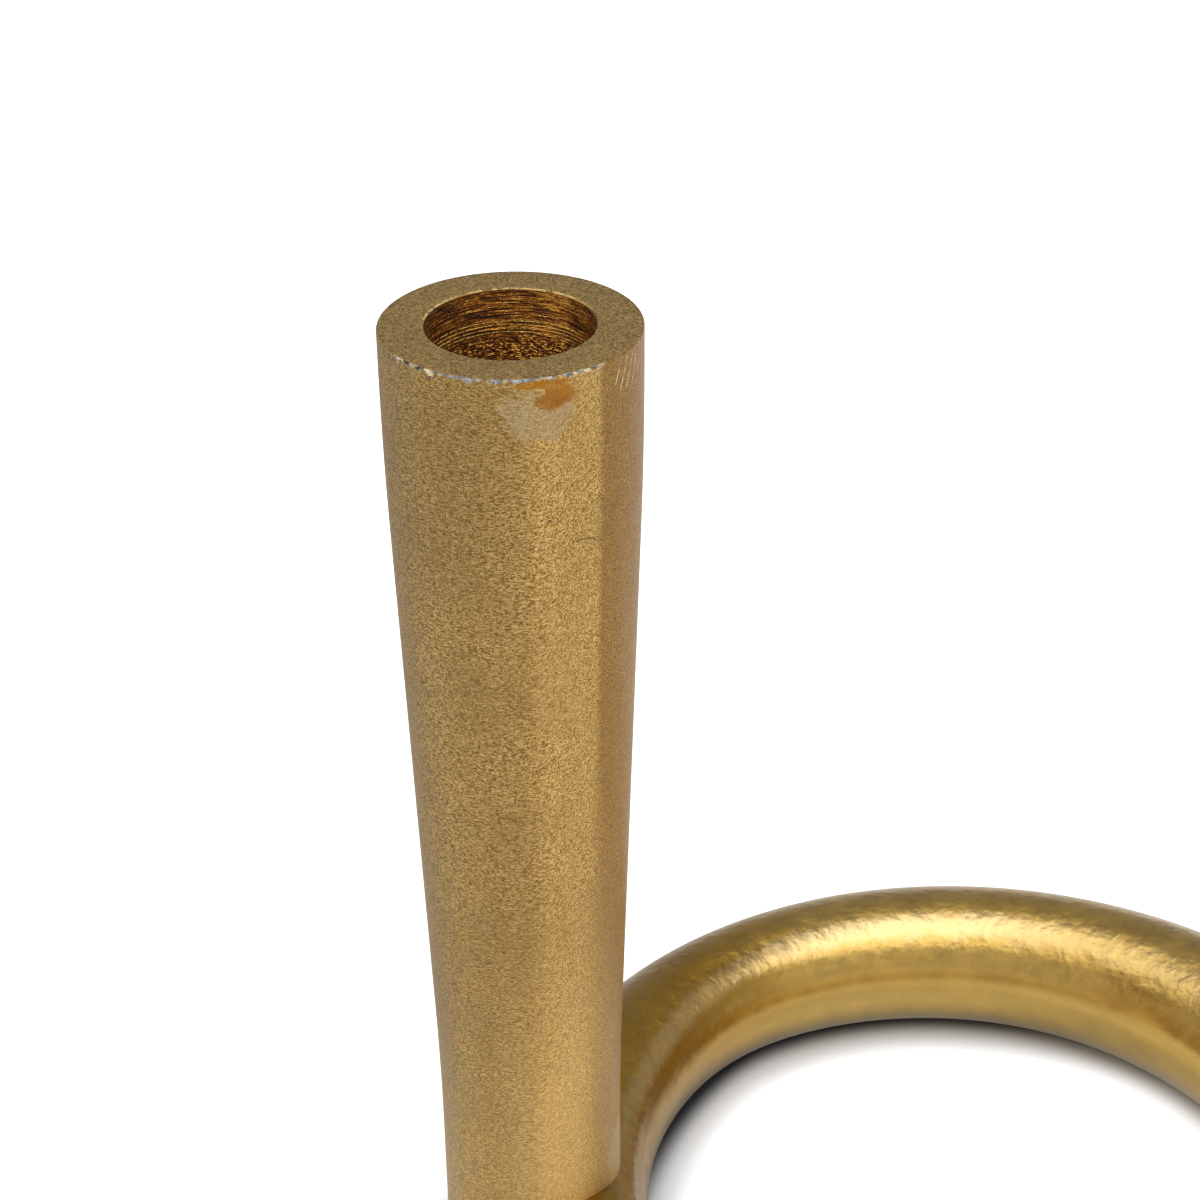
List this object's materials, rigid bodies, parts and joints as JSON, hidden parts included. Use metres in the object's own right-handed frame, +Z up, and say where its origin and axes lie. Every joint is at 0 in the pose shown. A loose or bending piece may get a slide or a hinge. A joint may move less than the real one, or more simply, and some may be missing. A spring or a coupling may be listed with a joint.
{
  "type": "taper candle holder",
  "caption": "Taper candle holder: a tapered cast upright with a bored candle socket, slotted over a heavy round-bar ring that lies flat on the table.",
  "frame": {"origin": "on the table, below the middle of the part's outline", "axes": "+Z up along the upright, +X from the upright across the ring, +Y to the back as seen in the picture"},
  "size_m": [0.168, 0.1534, 0.1685],
  "materials": {
    "gold_lacquer": "satin antique-gold lacquer over sand-cast aluminium, worn to bare metal along the rim",
    "zinc_steel": "zinc-plated steel",
    "felt": "dark pressed felt"
  },
  "bodies": {
    "root": {"upright": "gold_lacquer", "ring_base": "gold_lacquer", "clamp_screw": "zinc_steel", "lock_washer": "zinc_steel", "flat_washer": "zinc_steel", "foot_pad_far": "felt", "foot_pad_back": "felt", "foot_pad_front": "felt", "foot_pad_upright": "felt"}
  },
  "joints": []
}
